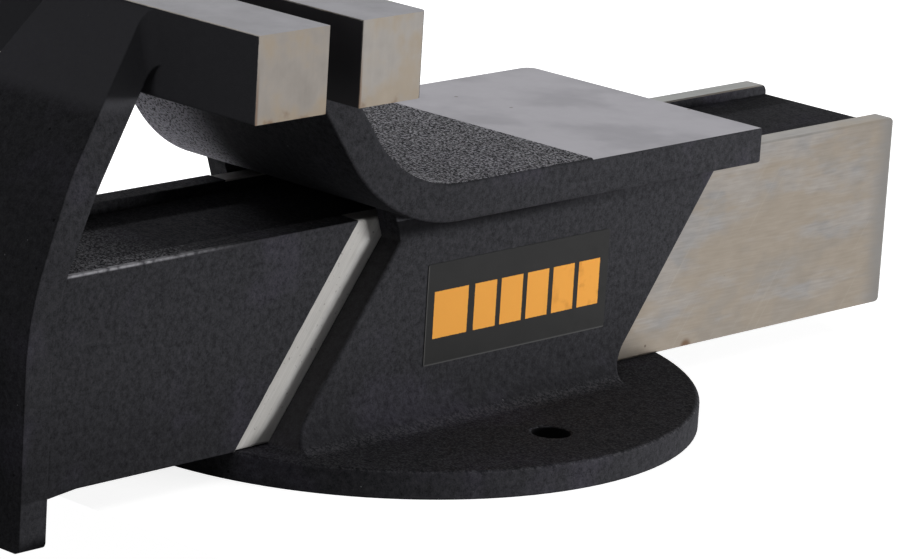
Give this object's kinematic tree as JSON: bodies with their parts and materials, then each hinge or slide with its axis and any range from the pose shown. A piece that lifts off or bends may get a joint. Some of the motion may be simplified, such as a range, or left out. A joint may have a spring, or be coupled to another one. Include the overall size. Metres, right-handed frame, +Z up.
{
  "type": "bench vise",
  "caption": "Cast-iron bench vise with a round bolt-down base, box slide, anvil, swept jaws, enclosed lead screw and sliding handle.",
  "frame": {"origin": "centre of the base disc's bottom face", "axes": "+X to the operator's right, +Y towards the rear along the screw, +Z up"},
  "size_m": [0.3716, 0.644, 0.2269],
  "materials": {
    "black_paint": "semi-gloss black enamel over sand-cast iron, slide and jaw tops machined bare",
    "jaw_steel": "surface-ground hardened steel",
    "screw_steel": "turned steel with a light oil film",
    "fastener_steel": "blackened steel",
    "spring_steel": "oiled spring wire",
    "nut_iron": "plain machined iron",
    "handle_steel": "bright drawn bar",
    "label_film": "matte printed film with plain orange blocks"
  },
  "bodies": {
    "base": {"fixed_body": "black_paint", "fixed_jaw_plate": "jaw_steel", "fixed_jaw_screws": "fastener_steel", "lead_nut": "nut_iron", "nut_bolts": "fastener_steel", "nut_lock_washers": "fastener_steel", "label_plate": "label_film"},
    "jaw": {"moving_jaw": "black_paint", "moving_jaw_plate": "jaw_steel", "moving_jaw_screws": "fastener_steel", "thrust_washer": "screw_steel"},
    "screw": {"lead_screw": "screw_steel", "take_up_spring": "spring_steel", "spring_washer": "screw_steel", "split_pin": "spring_steel"},
    "handle": {"handle_bar": "handle_steel", "handle_knob_right": "handle_steel", "handle_knob_left": "handle_steel"}
  },
  "joints": [
    {"name": "jaw_slide", "type": "slide", "parent": "base", "child": "jaw", "axis": [0, -1, 0], "range_m": [-0.0199, 0.1855]},
    {"name": "screw_spin", "type": "hinge", "parent": "jaw", "child": "screw", "pos_m": [0, -0.3, 0.057], "axis": [0, -1, 0], "range_deg": [-1185, 11090]},
    {"name": "handle_slide", "type": "slide", "parent": "screw", "child": "handle", "axis": [1, 0, 0], "range_m": [0, 0.169]}
  ],
  "couplings": [
    {"joint": "jaw_slide", "follows": "screw_spin", "m_per_rad": 0.00095493}
  ]
}
